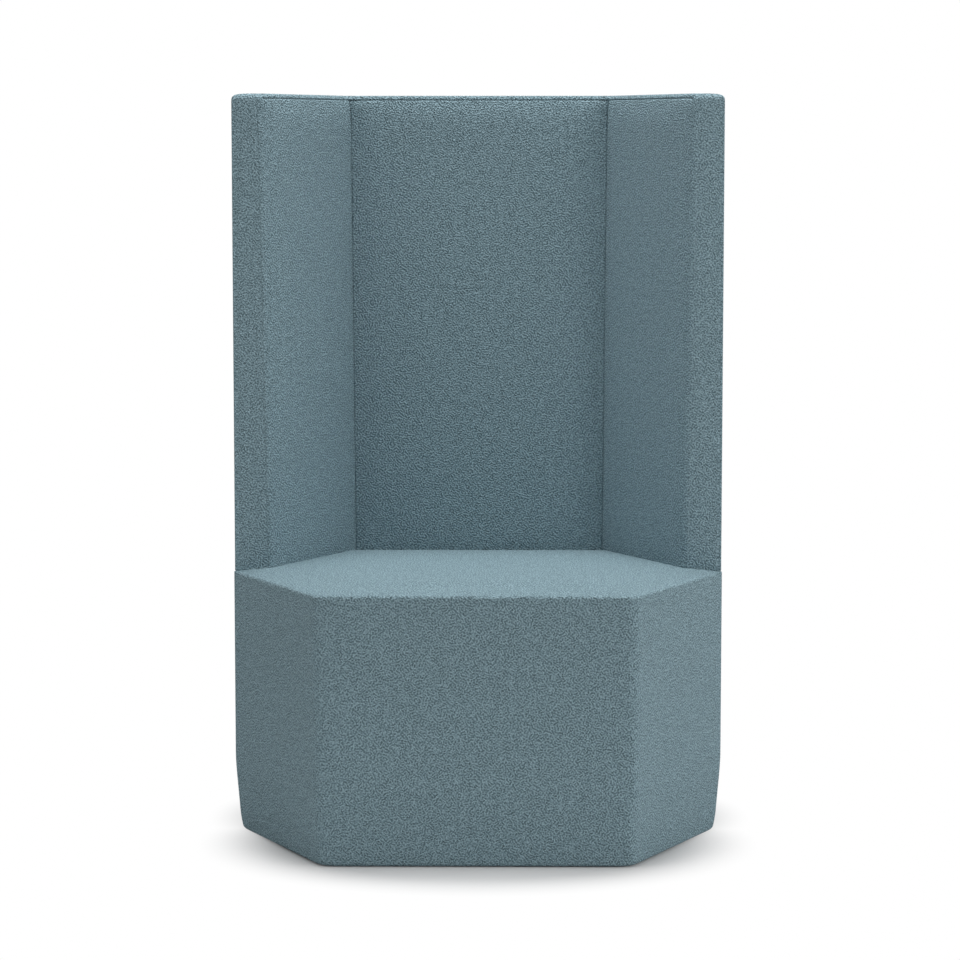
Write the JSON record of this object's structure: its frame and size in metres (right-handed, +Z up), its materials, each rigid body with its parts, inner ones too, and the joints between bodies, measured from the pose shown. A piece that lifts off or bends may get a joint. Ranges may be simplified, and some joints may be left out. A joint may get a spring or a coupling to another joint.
{
  "type": "modular sofa",
  "caption": "High-backed single-seat sofa module: six-sided upholstered plinth with a three-panel wing back on its rear sides, on screw-adjusted glides.",
  "frame": {"origin": "on the floor under the middle of the plinth", "axes": "+Z up, -Y towards the open front, +X to the right seen from the front"},
  "size_m": [0.8506, 0.5646, 1.286],
  "materials": {
    "upholstery_cloth": "matte",
    "foam": "matte",
    "plywood": "matte",
    "hardwood": "matte",
    "zinc_plated_steel": "satin",
    "nylon": "satin",
    "dust_cloth": "matte"
  },
  "bodies": {
    "seat_module": {"back_core_left": "plywood", "back_core_rear": "plywood", "back_core_right": "plywood", "bottom_board": "plywood", "corner_angle_left": "zinc_plated_steel", "corner_angle_right": "zinc_plated_steel", "corner_block_1": "hardwood", "corner_block_2": "hardwood", "corner_block_3": "hardwood", "corner_block_4": "hardwood", "corner_block_5": "hardwood", "corner_block_6": "hardwood", "dust_cover": "dust_cloth", "edge_band": "upholstery_cloth", "edge_foam": "foam", "foot_bracket_left": "zinc_plated_steel", "foot_bracket_rear_left": "zinc_plated_steel", "foot_bracket_rear_right": "zinc_plated_steel", "foot_bracket_right": "zinc_plated_steel", "inner_cover_left": "upholstery_cloth", "inner_cover_rear": "upholstery_cloth", "inner_cover_right": "upholstery_cloth", "inner_foam_left": "foam", "inner_foam_rear": "foam", "inner_foam_right": "foam", "outer_cover": "upholstery_cloth", "outer_foam_left": "foam", "outer_foam_rear": "foam", "outer_foam_right": "foam", "rib_left": "plywood", "rib_right": "plywood", "seat_cover": "upholstery_cloth", "seat_deck": "plywood", "seat_foam": "foam", "side_foam": "foam", "tee_nut_1": "zinc_plated_steel", "tee_nut_2": "zinc_plated_steel", "tee_nut_3": "zinc_plated_steel", "tee_nut_4": "zinc_plated_steel", "tee_nut_5": "zinc_plated_steel", "tee_nut_6": "zinc_plated_steel", "wall_front": "plywood", "wall_front_left": "plywood", "wall_front_right": "plywood", "wall_rear": "plywood", "wall_rear_left": "plywood", "wall_rear_right": "plywood"},
    "glide_pad_1": {"glide_pad_1": "nylon"},
    "glide_stem_1": {"glide_stem_1": "zinc_plated_steel"},
    "glide_pad_2": {"glide_pad_2": "nylon"},
    "glide_stem_2": {"glide_stem_2": "zinc_plated_steel"},
    "glide_pad_3": {"glide_pad_3": "nylon"},
    "glide_stem_3": {"glide_stem_3": "zinc_plated_steel"},
    "glide_pad_4": {"glide_pad_4": "nylon"},
    "glide_stem_4": {"glide_stem_4": "zinc_plated_steel"},
    "glide_pad_5": {"glide_pad_5": "nylon"},
    "glide_stem_5": {"glide_stem_5": "zinc_plated_steel"},
    "glide_pad_6": {"glide_pad_6": "nylon"},
    "glide_stem_6": {"glide_stem_6": "zinc_plated_steel"}
  },
  "joints": [
    {"name": "glide_travel_1", "type": "slide", "parent": "seat_module", "child": "glide_pad_1", "axis": [0, 0, -1], "range_m": [0, 0.012]},
    {"name": "glide_turn_1", "type": "hinge", "parent": "glide_pad_1", "child": "glide_stem_1", "pos_m": [0.21947, -0.20432, 0.02], "axis": [0, 0, -1], "range_deg": [0, 3460]},
    {"name": "glide_travel_2", "type": "slide", "parent": "seat_module", "child": "glide_pad_2", "axis": [0, 0, -1], "range_m": [0, 0.012]},
    {"name": "glide_turn_2", "type": "hinge", "parent": "glide_pad_2", "child": "glide_stem_2", "pos_m": [0.33743, 0, 0.02], "axis": [0, 0, -1], "range_deg": [0, 3460]},
    {"name": "glide_travel_3", "type": "slide", "parent": "seat_module", "child": "glide_pad_3", "axis": [0, 0, -1], "range_m": [0, 0.012]},
    {"name": "glide_turn_3", "type": "hinge", "parent": "glide_pad_3", "child": "glide_stem_3", "pos_m": [0.21947, 0.20432, 0.02], "axis": [0, 0, -1], "range_deg": [0, 3460]},
    {"name": "glide_travel_4", "type": "slide", "parent": "seat_module", "child": "glide_pad_4", "axis": [0, 0, -1], "range_m": [0, 0.012]},
    {"name": "glide_turn_4", "type": "hinge", "parent": "glide_pad_4", "child": "glide_stem_4", "pos_m": [-0.21947, 0.20432, 0.02], "axis": [0, 0, -1], "range_deg": [0, 3460]},
    {"name": "glide_travel_5", "type": "slide", "parent": "seat_module", "child": "glide_pad_5", "axis": [0, 0, -1], "range_m": [0, 0.012]},
    {"name": "glide_turn_5", "type": "hinge", "parent": "glide_pad_5", "child": "glide_stem_5", "pos_m": [-0.33743, 0, 0.02], "axis": [0, 0, -1], "range_deg": [0, 3460]},
    {"name": "glide_travel_6", "type": "slide", "parent": "seat_module", "child": "glide_pad_6", "axis": [0, 0, -1], "range_m": [0, 0.012]},
    {"name": "glide_turn_6", "type": "hinge", "parent": "glide_pad_6", "child": "glide_stem_6", "pos_m": [-0.21947, -0.20432, 0.02], "axis": [0, 0, -1], "range_deg": [0, 3460]}
  ],
  "couplings": [
    {"joint": "glide_turn_1", "follows": "glide_travel_1", "rad_per_m": 5026.5},
    {"joint": "glide_turn_2", "follows": "glide_travel_2", "rad_per_m": 5026.5},
    {"joint": "glide_turn_3", "follows": "glide_travel_3", "rad_per_m": 5026.5},
    {"joint": "glide_turn_4", "follows": "glide_travel_4", "rad_per_m": 5026.5},
    {"joint": "glide_turn_5", "follows": "glide_travel_5", "rad_per_m": 5026.5},
    {"joint": "glide_turn_6", "follows": "glide_travel_6", "rad_per_m": 5026.5}
  ]
}
